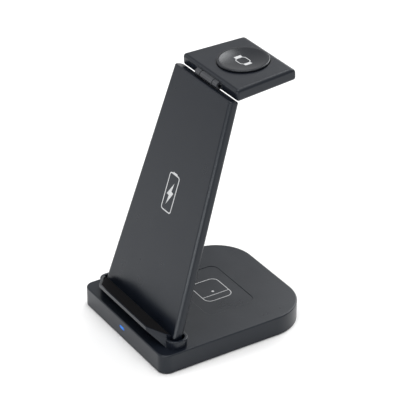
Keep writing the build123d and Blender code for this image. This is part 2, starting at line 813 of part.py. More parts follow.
washer_middle = (centre_knuckle_length + washer_gap) / 2
with BuildPart() as hinge_washers:
    for side in (-1, 1):
        with BuildSketch(panel_hinge.offset(side * washer_middle)):
            Circle(washer_diameter / 2)
            Circle(pin_diameter / 2 + pin_running_clearance, mode=Mode.SUBTRACT)
        extrude(amount=washer_thickness / 2, both=True)
hinge_washers.part.label = "hinge_washers"
export_step(hinge_washers.part, "parts/hinge_washers.step")

# Platform hinge bracket: centre knuckle on a square land that fills the middle of the
# platform's front end, with pockets for the outer knuckles and a leaf screwed inside
land_drop = platform_thickness - hinge_depth
land_rise = hinge_depth - platform_wall
platform_screw_back = platform_gap + hinge_land_depth + hinge_land_clearance + bracket_boss_diameter / 2
bracket_screw_places = [(side * bracket_screw_spacing / 2, platform_screw_back) for side in (-1, 1)]
platform_leaf_end = puck_setback - watch_ferrite_diameter / 2 - watch_board_gap
pocket_length = washer_gap + outer_knuckle_length + knuckle_clearance
pocket_middle = (centre_knuckle_length + pocket_length) / 2
with BuildPart() as platform_hinge_bracket:
    with BuildSketch(platform_hinge):
        with Locations((platform_gap, -land_drop)):
            Rectangle(hinge_land_depth, land_drop + land_rise, align=(Align.MIN, Align.MIN))
        fillet(vertices().group_by(Axis.Y)[0].sort_by(Axis.X)[0], platform_front_radius)
    extrude(amount=hinge_land_width / 2, both=True)
    with BuildSketch(platform_hinge):
        with Locations((platform_gap, 0)):
            Rectangle(platform_leaf_end - platform_gap, leaf_thickness, align=(Align.MIN, Align.CENTER))
    extrude(amount=leaf_width / 2, both=True)
    for side in (-1, 1):
        with BuildSketch(platform_hinge.offset(side * pocket_middle)):
            Circle(barrel_diameter / 2 + knuckle_clearance)
        extrude(amount=pocket_length / 2, both=True, mode=Mode.SUBTRACT)
    with BuildSketch(platform_hinge):
        Circle(barrel_diameter / 2)
        Rectangle(platform_gap + hinge_land_depth, leaf_thickness, align=(Align.MIN, Align.CENTER))
    extrude(amount=centre_knuckle_length / 2, both=True)
    with BuildSketch(platform_hinge):
        Circle(pin_diameter / 2 + pin_running_clearance)
    extrude(amount=barrel_length, both=True, mode=Mode.SUBTRACT)
    with BuildSketch(platform_face.offset(-leaf_front_depth)):
        with Locations(*bracket_screw_places):
            Circle(bracket_screw_diameter / 2 + screw_clearance)
    extrude(amount=-leaf_thickness, mode=Mode.SUBTRACT)
platform_hinge_bracket.part.label = "platform_hinge_bracket"
export_step(platform_hinge_bracket.part, "parts/platform_hinge_bracket.step")

bracket_screw_seats = [
    Plane(origin=platform_face.from_local_coords((x, y, -leaf_front_depth - leaf_thickness)),
          x_dir=(1, 0, 0), z_dir=-platform_up)
    for x, y in bracket_screw_places
]
with BuildPart() as platform_bracket_screws:
    add(
        make_screws(
            bracket_screw_seats,
            bracket_screw_head,
            bracket_screw_head_height,
            bracket_screw_diameter,
            bracket_screw_length,
        )
    )
platform_bracket_screws.part.label = "platform_bracket_screws"
export_step(platform_bracket_screws.part, "parts/platform_bracket_screws.step")

# The platform's plan, wider at the hinge, and its section, seen from the right
platform_corners = [
    (-platform_front_width / 2, platform_gap),
    (platform_front_width / 2, platform_gap),
    (platform_rear_width / 2, platform_tail),
    (-platform_rear_width / 2, platform_tail),
]
platform_section = [
    (platform_gap, hinge_depth),
    (platform_tail, hinge_depth),
    (platform_tail, hinge_depth - platform_thickness),
    (platform_gap, hinge_depth - platform_thickness),
]
section_radii = [
    platform_front_radius, platform_rear_radius, platform_tail_radius, platform_front_radius
]


def make_platform_block():
    """The whole platform as one plate: its rounded section, cut to the plan, with rounded sides."""
    with BuildPart() as block:
        with BuildSketch(platform_hinge):
            with BuildLine():
                FilletPolyline(*platform_section, radius=section_radii, close=True)
            make_face()
        extrude(amount=platform_front_width, both=True)
        with BuildSketch(platform_face):
            Polygon(*platform_corners, align=None)
        extrude(amount=-platform_thickness, mode=Mode.INTERSECT)
        ends = faces().sort_by(Axis.X)
        fillet(ends[0].edges() + ends[-1].edges(), platform_side_radius)
    return block.part


# Platform top shell: the platform's top and sides, open below, with a hole for the puck
top_shell_depth = platform_thickness - platform_cover_thickness
platform_post_height = top_shell_depth - platform_wall
platform_screw_places = [
    (side * (width / 2 - platform_screw_inset), y)
    for side in (-1, 1)
    for width, y in (
        (platform_front_width, platform_gap + platform_screw_inset),
        (platform_rear_width, platform_tail - platform_screw_inset),
    )
]
with BuildPart() as platform_top_shell:
    add(make_platform_block())
    split(bisect_by=platform_face.offset(-top_shell_depth), keep=Keep.TOP)
    with BuildSketch(platform_face.offset(-platform_wall)):
        Polygon(*platform_corners, align=None)
        offset(amount=-platform_side_wall, kind=Kind.INTERSECTION)
    extrude(amount=-platform_post_height, mode=Mode.SUBTRACT)
    with BuildSketch(platform_face.offset(-platform_wall)):
        with Locations(*platform_screw_places):
            Circle(platform_post_diameter / 2)
        with Locations(*bracket_screw_places):
            Circle(bracket_boss_diameter / 2)
    extrude(amount=-platform_post_height)
    with BuildSketch(platform_face.offset(-leaf_front_depth)):
        with Locations((0, platform_gap)):
            Rectangle(
                hinge_land_width + 2 * hinge_land_clearance,
                platform_leaf_end + leaf_gap - platform_gap,
                align=(Align.CENTER, Align.MIN),
            )
    extrude(amount=-platform_thickness, mode=Mode.SUBTRACT)
    with BuildSketch(platform_face.offset(-platform_wall)):
        with Locations((0, platform_gap)):
            Rectangle(
                hinge_land_width + 2 * hinge_land_clearance,
                hinge_land_depth + hinge_land_clearance,
                align=(Align.CENTER, Align.MIN),
            )
    extrude(amount=-platform_thickness, mode=Mode.SUBTRACT)
    with BuildSketch(platform_face.offset(-top_shell_depth)):
        with Locations(*platform_screw_places):
            Circle(platform_screw_diameter / 2 + screw_clearance)
    extrude(amount=platform_post_height, mode=Mode.SUBTRACT)
    with BuildSketch(platform_face.offset(-leaf_front_depth)):
        with Locations(*bracket_screw_places):
            Circle(bracket_screw_diameter / 2 + screw_clearance)
    extrude(amount=leaf_front_depth - platform_wall, mode=Mode.SUBTRACT)
    with BuildSketch(puck_face):
        Circle(puck_diameter / 2 + puck_clearance)
    extrude(amount=-platform_wall, mode=Mode.SUBTRACT)
platform_top_shell.part.label = "platform_top_shell"
export_step(platform_top_shell.part, "parts/platform_top_shell.step")

# Platform bottom cover: flat plate with a locating rim, pillars under the watch board and
# sunk screw holes
puck_seat_depth = platform_wall
watch_ferrite_depth = puck_seat_depth + puck_flange_thickness
watch_board_depth = watch_ferrite_depth + ferrite_thickness
pillar_height = top_shell_depth - watch_board_depth - watch_board_thickness
with BuildPart() as platform_bottom_cover:
    add(make_platform_block())
    split(bisect_by=platform_face.offset(-top_shell_depth), keep=Keep.BOTTOM)
    with BuildSketch(platform_face.offset(-top_shell_depth)):
        Polygon(*platform_corners, align=None)
        offset(amount=-(platform_side_wall + cover_rim_clearance), kind=Kind.INTERSECTION)
        offset(amount=-cover_rim_thickness, kind=Kind.INTERSECTION, mode=Mode.SUBTRACT)
        with Locations((0, platform_gap)):
            Rectangle(
                hinge_land_width + 2 * hinge_land_clearance,
                platform_leaf_end + leaf_gap - platform_gap,
                align=(Align.CENTER, Align.MIN),
                mode=Mode.SUBTRACT,
            )
    extrude(amount=cover_rim_height)
    with BuildSketch(puck_face.offset(-top_shell_depth)):
        with GridLocations(pillar_spacing, pillar_spacing, 2, 2):
            Circle(pillar_diameter / 2)
    extrude(amount=pillar_height)
    with BuildSketch(platform_face.offset(-top_shell_depth)):
        with Locations((0, platform_gap)):
            Rectangle(
                hinge_land_width + 2 * hinge_land_clearance,
                hinge_land_depth + hinge_land_clearance,
                align=(Align.CENTER, Align.MIN),
            )
    extrude(amount=-platform_thickness, mode=Mode.SUBTRACT)
    with BuildSketch(platform_face.offset(-platform_thickness)):
        with Locations(*platform_screw_places):
            Circle(platform_screw_head / 2 + screw_clearance)
    extrude(amount=platform_screw_head_height, mode=Mode.SUBTRACT)
    with BuildSketch(platform_face.offset(-platform_thickness)):
        with Locations(*platform_screw_places):
            Circle(platform_screw_diameter / 2 + screw_clearance)
    extrude(amount=platform_cover_thickness, mode=Mode.SUBTRACT)
platform_bottom_cover.part.label = "platform_bottom_cover"
export_step(platform_bottom_cover.part, "parts/platform_bottom_cover.step")

platform_screw_seats = [
    Plane(origin=platform_face.from_local_coords((x, y, platform_screw_head_height - platform_thickness)),
          x_dir=(1, 0, 0), z_dir=-platform_up)
    for x, y in platform_screw_places
]
with BuildPart() as platform_screws:
    add(
        make_screws(
            platform_screw_seats,
            platform_screw_head,
            platform_screw_head_height,
            platform_screw_diameter,
            platform_screw_length,
        )
    )
platform_screws.part.label = "platform_screws"
export_step(platform_screws.part, "parts/platform_screws.step")

# Watch puck: dished disc that stands up through the platform's hole, held by a flange below the
# platform's top, which is cut straight at the front and the rear where the room ends
puck_radius = puck_diameter / 2
flange_radius = puck_radius + puck_flange_width
flange_front = platform_screw_back + bracket_boss_diameter / 2 + puck_clearance
flange_rear = platform_tail - platform_side_wall - puck_clearance
puck_pocket_depth = dish_depth - puck_height + dish_wall
puck_pocket_radius = watch_coil_outer / 2 + watch_magnet_clearance
with BuildPart() as watch_puck:
    with BuildSketch(puck_section):
        with BuildLine():
            dish = TangentArc(
                (0, puck_height - dish_depth), (dish_diameter / 2, puck_height), tangent=(1, 0)
            )
            Polyline(
                dish @ 1,
                (puck_radius, puck_height),
                (puck_radius, -puck_seat_depth),
                (flange_radius, -puck_seat_depth),
                (flange_radius, -watch_ferrite_depth),
                (puck_pocket_radius, -watch_ferrite_depth),
                (puck_pocket_radius, -puck_pocket_depth),
                (0, -puck_pocket_depth),
                dish @ 0,
            )
        make_face()
    revolve(axis=Axis(puck_middle, platform_up))
    with BuildSketch(platform_face.offset(-platform_wall)):
        with Locations((0, flange_front)):
            Rectangle(2 * flange_radius, flange_radius, align=(Align.CENTER, Align.MAX))
        with Locations((0, flange_rear)):
            Rectangle(2 * flange_radius, flange_radius, align=(Align.CENTER, Align.MIN))
    extrude(amount=-puck_flange_thickness, mode=Mode.SUBTRACT)
    rim_edges = edges().filter_by(GeomType.CIRCLE).group_by(Axis(hinge_axis, platform_up))[-1]
    fillet(rim_edges.sort_by(SortBy.RADIUS)[-1], puck_edge_radius)
watch_puck.part.label = "watch_puck"
export_step(watch_puck.part, "parts/watch_puck.step")

# Watch coil round its magnet, both in the puck's pocket, with the ferrite disc and the board below
with BuildPart() as watch_coil:
    with BuildSketch(puck_face.offset(-puck_pocket_depth)):
        Circle(watch_coil_outer / 2)
        Circle(watch_coil_inner / 2, mode=Mode.SUBTRACT)
    extrude(amount=-watch_coil_thickness)
watch_coil.part.label = "watch_coil"
export_step(watch_coil.part, "parts/watch_coil.step")

with BuildPart() as watch_magnet:
    with BuildSketch(puck_face.offset(-puck_pocket_depth)):
        Circle(watch_magnet_diameter / 2)
    extrude(amount=-(watch_ferrite_depth - puck_pocket_depth))
watch_magnet.part.label = "watch_magnet"
export_step(watch_magnet.part, "parts/watch_magnet.step")

with BuildPart() as watch_ferrite:
    with BuildSketch(puck_face.offset(-watch_ferrite_depth)):
        Circle(watch_ferrite_diameter / 2)
    extrude(amount=-ferrite_thickness)
watch_ferrite.part.label = "watch_ferrite"
export_step(watch_ferrite.part, "parts/watch_ferrite.step")

with BuildPart() as watch_circuit_board:
    with BuildSketch(puck_face.offset(-watch_board_depth)):
        Circle(watch_board_diameter / 2)
    extrude(amount=-watch_board_thickness)
watch_circuit_board.part.label = "watch_circuit_board"
export_step(watch_circuit_board.part, "parts/watch_circuit_board.step")
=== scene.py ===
import math

import bpy
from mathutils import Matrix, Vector


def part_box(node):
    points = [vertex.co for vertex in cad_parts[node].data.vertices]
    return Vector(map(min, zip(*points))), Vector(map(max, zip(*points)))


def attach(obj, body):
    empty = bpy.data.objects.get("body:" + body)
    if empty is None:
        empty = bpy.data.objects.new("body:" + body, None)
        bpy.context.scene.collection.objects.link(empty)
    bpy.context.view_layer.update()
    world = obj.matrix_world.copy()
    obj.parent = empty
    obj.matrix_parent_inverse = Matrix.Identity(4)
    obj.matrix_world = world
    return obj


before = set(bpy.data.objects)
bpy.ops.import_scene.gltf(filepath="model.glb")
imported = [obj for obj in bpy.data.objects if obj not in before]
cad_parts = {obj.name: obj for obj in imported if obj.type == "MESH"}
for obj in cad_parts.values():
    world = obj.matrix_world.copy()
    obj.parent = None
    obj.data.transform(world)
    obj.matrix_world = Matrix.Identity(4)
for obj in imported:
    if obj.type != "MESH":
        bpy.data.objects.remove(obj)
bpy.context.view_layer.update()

mm = 0.001

# Base bottom cover: injection-moulded plate in charcoal plastic with a satin, spark-eroded skin.
# It lies inside the base's walls, and four screws pull it up against the shell's posts.


def start_material(name):
    """A new node material with its shader, ready to be filled in."""
    material = bpy.data.materials.new(name)
    material.use_nodes = True
    return material, material.node_tree, material.node_tree.nodes["Principled BSDF"]


def dress(material, *names):
    """Gives a finish to pieces of the frame."""
    for name in names:
        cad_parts[name].material_slots[0].material = material


def colour_mix(tree):
    """A node that mixes two colours."""
    mix = tree.nodes.new("ShaderNodeMix")
    mix.data_type = "RGBA"
    return mix


pit_detail, cloud_detail = 3, 4
cloud_low, cloud_high = 0.3, 0.7
pit_width_to_depth = 6
grain = bpy.data.node_groups.new("Surface grain", "ShaderNodeTree")
for label, kind in (("Dark", "Color"), ("Light", "Color"), ("Pits", "Float"), ("Clouds", "Float"),
                    ("Stretch", "Vector"), ("Smoothest", "Float"), ("Roughest", "Float")):
    grain.interface.new_socket(label, in_out="INPUT", socket_type="NodeSocket" + kind)
for label, kind in (("Color", "Color"), ("Roughness", "Float"), ("Height", "Float")):
    grain.interface.new_socket(label, in_out="OUTPUT", socket_type="NodeSocket" + kind)
grain_in = grain.nodes.new("NodeGroupInput")
grain_out = grain.nodes.new("NodeGroupOutput")
grain_place = grain.nodes.new("ShaderNodeTexCoord")
grain_stretch = grain.nodes.new("ShaderNodeVectorMath")
grain_stretch.operation = "MULTIPLY"
grain_pits = grain.nodes.new("ShaderNodeTexNoise")
grain_pits.inputs["Detail"].default_value = pit_detail
grain_clouds = grain.nodes.new("ShaderNodeTexNoise")
grain_clouds.inputs["Detail"].default_value = cloud_detail
grain_colour = colour_mix(grain)
grain_rough = grain.nodes.new("ShaderNodeMapRange")
grain_rough.inputs["From Min"].default_value = cloud_low
grain_rough.inputs["From Max"].default_value = cloud_high
grain.links.new(grain_place.outputs["Object"], grain_stretch.inputs[0])
grain.links.new(grain_in.outputs["Stretch"], grain_stretch.inputs[1])
for texture, size in ((grain_pits, "Pits"), (grain_clouds, "Clouds")):
    grain.links.new(grain_stretch.outputs["Vector"], texture.inputs["Vector"])
    grain.links.new(grain_in.outputs[size], texture.inputs["Scale"])
grain.links.new(grain_clouds.outputs["Fac"], grain_colour.inputs["Factor"])
grain.links.new(grain_in.outputs["Dark"], grain_colour.inputs["A"])
grain.links.new(grain_in.outputs["Light"], grain_colour.inputs["B"])
grain.links.new(grain_clouds.outputs["Fac"], grain_rough.inputs["Value"])
grain.links.new(grain_in.outputs["Smoothest"], grain_rough.inputs["To Min"])
grain.links.new(grain_in.outputs["Roughest"], grain_rough.inputs["To Max"])
grain.links.new(grain_colour.outputs["Result"], grain_out.inputs["Color"])
grain.links.new(grain_rough.outputs["Result"], grain_out.inputs["Roughness"])
grain.links.new(grain_pits.outputs["Fac"], grain_out.inputs["Height"])


def grained(name, dark, light, pit_size, cloud_size, gloss, relief, stretch=(1, 1, 1)):
    """A finish with cloudy colour and gloss, and fine pits pressed into its skin."""
    material, tree, shader = start_material(name)
    skin = tree.nodes.new("ShaderNodeGroup")
    skin.node_tree = grain
    skin.inputs["Dark"].default_value = (*dark, 1)
    skin.inputs["Light"].default_value = (*light, 1)
    skin.inputs["Pits"].default_value = 1 / pit_size
    skin.inputs["Clouds"].default_value = 1 / cloud_size
    skin.inputs["Stretch"].default_value = stretch
    skin.inputs["Smoothest"].default_value = gloss[0]
    skin.inputs["Roughest"].default_value = gloss[1]
    bump = tree.nodes.new("ShaderNodeBump")
    bump.inputs["Strength"].default_value = relief
    bump.inputs["Distance"].default_value = pit_size / pit_width_to_depth
    tree.links.new(skin.outputs["Color"], shader.inputs["Base Color"])
    tree.links.new(skin.outputs["Roughness"], shader.inputs["Roughness"])
    tree.links.new(skin.outputs["Height"], bump.inputs["Height"])
    tree.links.new(bump.outputs["Normal"], shader.inputs["Normal"])
    return material, tree, shader, skin, bump


cool_sheen = (0.92, 0.965, 1.0, 1)
charcoal, _, charcoal_shader, *_ = grained(
    "charcoal_plastic", dark=(0.0035, 0.0052, 0.0095), light=(0.0050, 0.0070, 0.0120),
    pit_size=0.25 * mm, cloud_size=14 * mm, gloss=(0.27, 0.33), relief=0.06)
charcoal_shader.inputs["IOR"].default_value = 1.42
charcoal_shader.inputs["Specular Tint"].default_value = cool_sheen
dress(charcoal, "base_bottom_cover")

# Rubber feet: four moulded discs of black rubber with a dull, slightly dusty skin.
# They are stuck into shallow pockets in the cover and stand a little proud of it.
rubber, _, rubber_shader, *_ = grained(
    "black_rubber", dark=(0.0062, 0.0060, 0.0066), light=(0.0086, 0.0084, 0.0092),
    pit_size=0.35 * mm, cloud_size=9 * mm, gloss=(0.82, 0.92), relief=0.4)
rubber_shader.inputs["Specular IOR Level"].default_value = 0.06
dress(rubber, "base_feet")

# Base screws: cold-headed steel screws with a cross recess, zinc plated and left bright.
# They are driven up through the cover into the shell's posts.
steel, _, steel_shader, *_ = grained(
    "zinc_plated_steel", dark=(0.42, 0.42, 0.43), light=(0.55, 0.55, 0.56),
    pit_size=0.15 * mm, cloud_size=1.2 * mm, gloss=(0.28, 0.42), relief=0.15)
steel_shader.inputs["Metallic"].default_value = 1
dress(steel, "base_screws")

# Ballast plate: stamped from cold-rolled sheet, with the rolling marks running front to rear.
# It is glued to the cover so that the base is heavy enough to hold up the panel.
rolled, _, rolled_shader, *_ = grained(
    "rolled_steel", dark=(0.30, 0.30, 0.31), light=(0.44, 0.44, 0.45),
    pit_size=0.3 * mm, cloud_size=2 * mm, gloss=(0.35, 0.55), relief=0.3, stretch=(1, 0.04, 1))
rolled_shader.inputs["Metallic"].default_value = 1
dress(rolled, "ballast_plate")

# Main circuit board: glass-fibre laminate with etched tracks under green solder mask.
# It lies on the cover's standoffs and carries black chokes, chips and capacitors.
board_thickness = 1.2 * mm
track_pitch = 2.4 * mm
track_width, track_softness = 0.07, 0.2
component_clearance = 0.1 * mm


def centre_of(node):
    """The middle of a frame node's box."""
    low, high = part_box(node)
    return (low + high) / 2


def own_place(tree, centre, turn=0.0):
    """Coordinates about a piece's centre, turned back about X so that it lies flat."""
    place = tree.nodes.new("ShaderNodeTexCoord")
    frame_of_piece = tree.nodes.new("ShaderNodeMapping")
    frame_of_piece.vector_type = "TEXTURE"
    frame_of_piece.inputs["Location"].default_value = centre
    frame_of_piece.inputs["Rotation"].default_value = (turn, 0, 0)
    tree.links.new(place.outputs["Object"], frame_of_piece.inputs["Vector"])
    return frame_of_piece


def etched(name, node, turn):
    """Solder mask over a mesh of etched tracks, drawn on a board's own flat side."""
    material, tree, shader, skin, bump = grained(
        name, dark=(0.006, 0.050, 0.022), light=(0.010, 0.075, 0.032),
        pit_size=0.2 * mm, cloud_size=5 * mm, gloss=(0.30, 0.40), relief=0.25)
    tracks = tree.nodes.new("ShaderNodeTexBrick")
    tracks.inputs["Color1"].default_value = (0, 0, 0, 1)
    tracks.inputs["Color2"].default_value = (0, 0, 0, 1)
    tracks.inputs["Mortar"].default_value = (1, 1, 1, 1)
    tracks.inputs["Scale"].default_value = 1 / track_pitch
    tracks.inputs["Mortar Size"].default_value = track_width
    tracks.inputs["Mortar Smooth"].default_value = track_softness
    tint = colour_mix(tree)
    tint.inputs["B"].default_value = (0.020, 0.150, 0.055, 1)
    flat_place = own_place(tree, centre_of(node), turn)
    tree.links.new(flat_place.outputs["Vector"], tracks.inputs["Vector"])
    tree.links.new(tracks.outputs["Color"], tint.inputs["Factor"])
    tree.links.new(skin.outputs["Color"], tint.inputs["A"])
    tree.links.new(tint.outputs["Result"], shader.inputs["Base Color"])
    tree.links.new(tracks.outputs["Fac"], bump.inputs["Height"])
    dress(material, node)
    return tree, shader, tint


board_tree, board_shader, board_tint = etched("main_board_mask", "main_circuit_board", 0)
board_place = board_tree.nodes.new("ShaderNodeTexCoord")
board_axes = board_tree.nodes.new("ShaderNodeSeparateXYZ")
above_board = board_tree.nodes.new("ShaderNodeMath")
above_board.operation = "GREATER_THAN"
board_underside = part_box("main_circuit_board")[0].z
above_board.inputs[1].default_value = board_underside + board_thickness + component_clearance
component_black = colour_mix(board_tree)
component_black.inputs["B"].default_value = (0.018, 0.018, 0.020, 1)
board_tree.links.new(board_place.outputs["Object"], board_axes.inputs["Vector"])
board_tree.links.new(board_axes.outputs["Z"], above_board.inputs[0])
board_tree.links.new(above_board.outputs["Value"], component_black.inputs["Factor"])
board_tree.links.new(board_tint.outputs["Result"], component_black.inputs["A"])
board_tree.links.new(component_black.outputs["Result"], board_shader.inputs["Base Color"])

# Power inlet: folded steel shell round a black contact tongue with gilt strips on both sides.
# It is soldered to the board's rear edge and faces out through the base's rear wall.
contact_pitch = 0.5 * mm
tongue_half_thickness = 0.45 * mm


def wave_scale(pitch):
    """The scale at which a wave texture repeats once in each pitch."""
    return math.pi / (10 * pitch)


inlet, inlet_tree, inlet_shader, inlet_skin, _ = grained(
    "inlet_shell", dark=(0.48, 0.48, 0.47), light=(0.60, 0.60, 0.59),
    pit_size=0.1 * mm, cloud_size=2 * mm, gloss=(0.22, 0.34), relief=0.1)
inlet_axes = inlet_tree.nodes.new("ShaderNodeSeparateXYZ")
inlet_from_middle = inlet_tree.nodes.new("ShaderNodeMath")
inlet_from_middle.operation = "ABSOLUTE"
on_shell = inlet_tree.nodes.new("ShaderNodeMath")
on_shell.operation = "GREATER_THAN"
on_shell.inputs[1].default_value = tongue_half_thickness
contacts = inlet_tree.nodes.new("ShaderNodeTexWave")
contacts.bands_direction = "X"
contacts.inputs["Scale"].default_value = wave_scale(contact_pitch)
gilt = colour_mix(inlet_tree)
gilt.inputs["A"].default_value = (0.012, 0.012, 0.013, 1)
gilt.inputs["B"].default_value = (0.55, 0.36, 0.12, 1)
inlet_colour = colour_mix(inlet_tree)
inlet_place = own_place(inlet_tree, centre_of("power_inlet"))
inlet_tree.links.new(inlet_place.outputs["Vector"], inlet_axes.inputs["Vector"])
inlet_tree.links.new(inlet_place.outputs["Vector"], contacts.inputs["Vector"])
inlet_tree.links.new(inlet_axes.outputs["Z"], inlet_from_middle.inputs[0])
inlet_tree.links.new(inlet_from_middle.outputs["Value"], on_shell.inputs[0])
inlet_tree.links.new(contacts.outputs["Fac"], gilt.inputs["Factor"])
inlet_tree.links.new(on_shell.outputs["Value"], inlet_colour.inputs["Factor"])
inlet_tree.links.new(gilt.outputs["Result"], inlet_colour.inputs["A"])
inlet_tree.links.new(inlet_skin.outputs["Color"], inlet_colour.inputs["B"])
inlet_tree.links.new(inlet_colour.outputs["Result"], inlet_shader.inputs["Base Color"])
inlet_tree.links.new(on_shell.outputs["Value"], inlet_shader.inputs["Metallic"])
dress(inlet, "power_inlet")

# Indicator lens and its board: a clear light pipe pushed through the front wall, with a small
# board glued behind its flange whose blue lamp lights it, brightest in the middle.
etched("indicator_board_mask", "indicator_board", math.pi / 2)
lens_half_length = 3.4 * mm
lens, lens_tree, lens_shader = start_material("lit_blue_lens")
lens_glow = lens_tree.nodes.new("ShaderNodeTexGradient")
lens_glow.gradient_type = "SPHERICAL"
lens_light = colour_mix(lens_tree)
lens_light.inputs["A"].default_value = (0.004, 0.040, 0.220, 1)
lens_light.inputs["B"].default_value = (0.010, 0.130, 0.460, 1)
lens_place = own_place(lens_tree, centre_of("indicator_lens"))
lens_place.inputs["Scale"].default_value = (
    lens_half_length, 2 * lens_half_length, lens_half_length)
lens_tree.links.new(lens_place.outputs["Vector"], lens_glow.inputs["Vector"])
lens_tree.links.new(lens_glow.outputs["Fac"], lens_light.inputs["Factor"])
lens_tree.links.new(lens_light.outputs["Result"], lens_shader.inputs["Emission Color"])
lens_tree.links.new(lens_light.outputs["Result"], lens_shader.inputs["Base Color"])
lens_shader.inputs["Emission Strength"].default_value = 1
lens_shader.inputs["Roughness"].default_value = 0.35
lens_shader.inputs["Specular IOR Level"].default_value = 0.15
dress(lens, "indicator_lens")

# Earbud coil and ferrite: flat spiral of enamelled copper wire on a sheet of sintered ferrite.
# Both are glued under the base's roof, below the earbud rest.
wire_pitch = 0.55 * mm
wire_relief = wire_pitch / 4


def wound(name, node, turn):
    """Turns of enamelled copper wire round a coil's own axis."""
    material, tree, shader, skin, bump = grained(
        name, dark=(0.48, 0.17, 0.07), light=(0.62, 0.24, 0.10),
        pit_size=0.12 * mm, cloud_size=3 * mm, gloss=(0.24, 0.34), relief=0.6)
    turns = tree.nodes.new("ShaderNodeTexWave")
    turns.wave_type = "RINGS"
    turns.rings_direction = "Z"
    turns.inputs["Scale"].default_value = wave_scale(wire_pitch)
    gap = colour_mix(tree)
    gap.inputs["A"].default_value = (0.10, 0.028, 0.012, 1)
    flat_place = own_place(tree, centre_of(node), turn)
    tree.links.new(flat_place.outputs["Vector"], turns.inputs["Vector"])
    tree.links.new(turns.outputs["Fac"], gap.inputs["Factor"])
    tree.links.new(skin.outputs["Color"], gap.inputs["B"])
    tree.links.new(gap.outputs["Result"], shader.inputs["Base Color"])
    tree.links.new(turns.outputs["Fac"], bump.inputs["Height"])
    bump.inputs["Distance"].default_value = wire_relief
    shader.inputs["Metallic"].default_value = 1
    dress(material, node)


wound("earbud_windings", "earbud_coil", 0)
ferrite, *_ = grained(
    "sintered_ferrite", dark=(0.020, 0.019, 0.018), light=(0.036, 0.034, 0.032),
    pit_size=0.2 * mm, cloud_size=1.5 * mm, gloss=(0.55, 0.75), relief=0.35)
dress(ferrite, "earbud_ferrite")

# Base top shell: moulded tray in the same charcoal plastic, open below, with a shallow rest in
# its top. A white outline of an earbud case is pad printed on the rest.
dress(charcoal, "base_top_shell")
ink_thickness = 0.03 * mm
ink_lift = 1 * mm
corner_steps = 8
dot_sides = 16
ink, *_ = grained(
    "white_print", dark=(0.475, 0.482, 0.490), light=(0.550, 0.558, 0.566),
    pit_size=0.08 * mm, cloud_size=2 * mm, gloss=(0.45, 0.60), relief=0.2)


def ink_bar(name, width, height, x, y, cuts=0):
    """A flat filled bar, as drawn on the printing plate."""
    bpy.ops.object.select_all(action="DESELECT")
    bpy.ops.mesh.primitive_plane_add(size=1)
    bar = bpy.context.object
    bar.name = name
    bar.scale = (width, height, 1)
    bar.location = (x, y, 0)
    bpy.ops.object.transform_apply(location=True, rotation=True, scale=True)
    if cuts:
        bpy.ops.object.mode_set(mode="EDIT")
        bpy.ops.mesh.select_all(action="SELECT")
        bpy.ops.mesh.subdivide(number_cuts=cuts)
        bpy.ops.object.mode_set(mode="OBJECT")
    return bar


def ink_outline(name, width, height, radius, stroke, cuts=0):
    """A flat rounded outline: a bar with its corners rounded and its inside cut away."""
    outline = ink_bar(name, width, height, 0, 0)
    bpy.ops.object.mode_set(mode="EDIT")
    bpy.ops.mesh.select_all(action="SELECT")
    bpy.ops.mesh.bevel(affect="VERTICES", offset=radius, segments=corner_steps)
    bpy.ops.mesh.select_all(action="SELECT")
    bpy.ops.mesh.inset(thickness=stroke)
    bpy.ops.mesh.delete(type="FACE")
    if cuts:
        bpy.ops.mesh.select_all(action="SELECT")
        bpy.ops.mesh.subdivide(number_cuts=cuts)
    bpy.ops.object.mode_set(mode="OBJECT")
    return outline


def ink_dot(name, radius, x, y):
    """A flat round dot, as drawn on the printing plate."""
    bpy.ops.object.select_all(action="DESELECT")
    bpy.ops.mesh.primitive_circle_add(
        vertices=dot_sides, radius=radius, fill_type="NGON", location=(x, y, 0))
    dot = bpy.context.object
    dot.name = name
    bpy.ops.object.transform_apply(location=True, rotation=True, scale=True)
    return dot


def print_mark(name, shapes, carrier, place, lean, body):
    """Joins flat shapes, presses them on to the carrier's skin and thickens them to a film."""
    bpy.ops.object.select_all(action="DESELECT")
    for shape in shapes:
        shape.select_set(True)
    mark = shapes[0]
    bpy.context.view_layer.objects.active = mark
    bpy.ops.object.join()
    mark.name = name
    mark.rotation_euler = (lean, 0, 0)
    mark.location = place
    press = mark.modifiers.new("press", "SHRINKWRAP")
    press.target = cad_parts[carrier]
    press.wrap_method = "PROJECT"
    press.use_project_z = True
    press.use_negative_direction = True
    press.use_positive_direction = False
    film = mark.modifiers.new("film", "SOLIDIFY")
    film.thickness = ink_thickness
    film.offset = 1
    for modifier in ("press", "film"):
        bpy.ops.object.modifier_apply(modifier=modifier)
    bpy.ops.object.transform_apply(location=True, rotation=True, scale=True)
    mark.data.materials.append(ink)
    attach(mark, body)


base_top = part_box("base_top_shell")[1].z
case_width, case_depth = 21.8 * mm, 19.0 * mm
case_corner = 4.4 * mm
case_stroke = 0.45 * mm
case_lid_x = 5.2 * mm
case_lamp_radius = 0.85 * mm
case_lamp_x, case_lamp_y = 1.8 * mm, 0.1 * mm
case_middle = Vector((-0.3 * mm, 9.9 * mm, base_top + ink_lift))
print_mark(
    "earbud_case_mark",
    [ink_outline("case_outline", case_width, case_depth, case_corner, case_stroke),
     ink_bar("case_lid_line", case_stroke, case_depth - 2 * case_stroke, case_lid_x, 0),
     ink_dot("case_lamp", case_lamp_radius, case_lamp_x, case_lamp_y)],
    "base_top_shell", case_middle, 0, "stand")

# Foot collar: moulded wall round the panel's foot, with the phone ledge at its front.
# It is clamped between the base's roof and the panel, in the same charcoal plastic.
dress(charcoal, "foot_collar")

# Ledge pad: die-cut sheet of soft black rubber that keeps the phone from sliding.
# It is stuck to the ledge's floor, inside the lip.
dress(rubber, "ledge_pad")

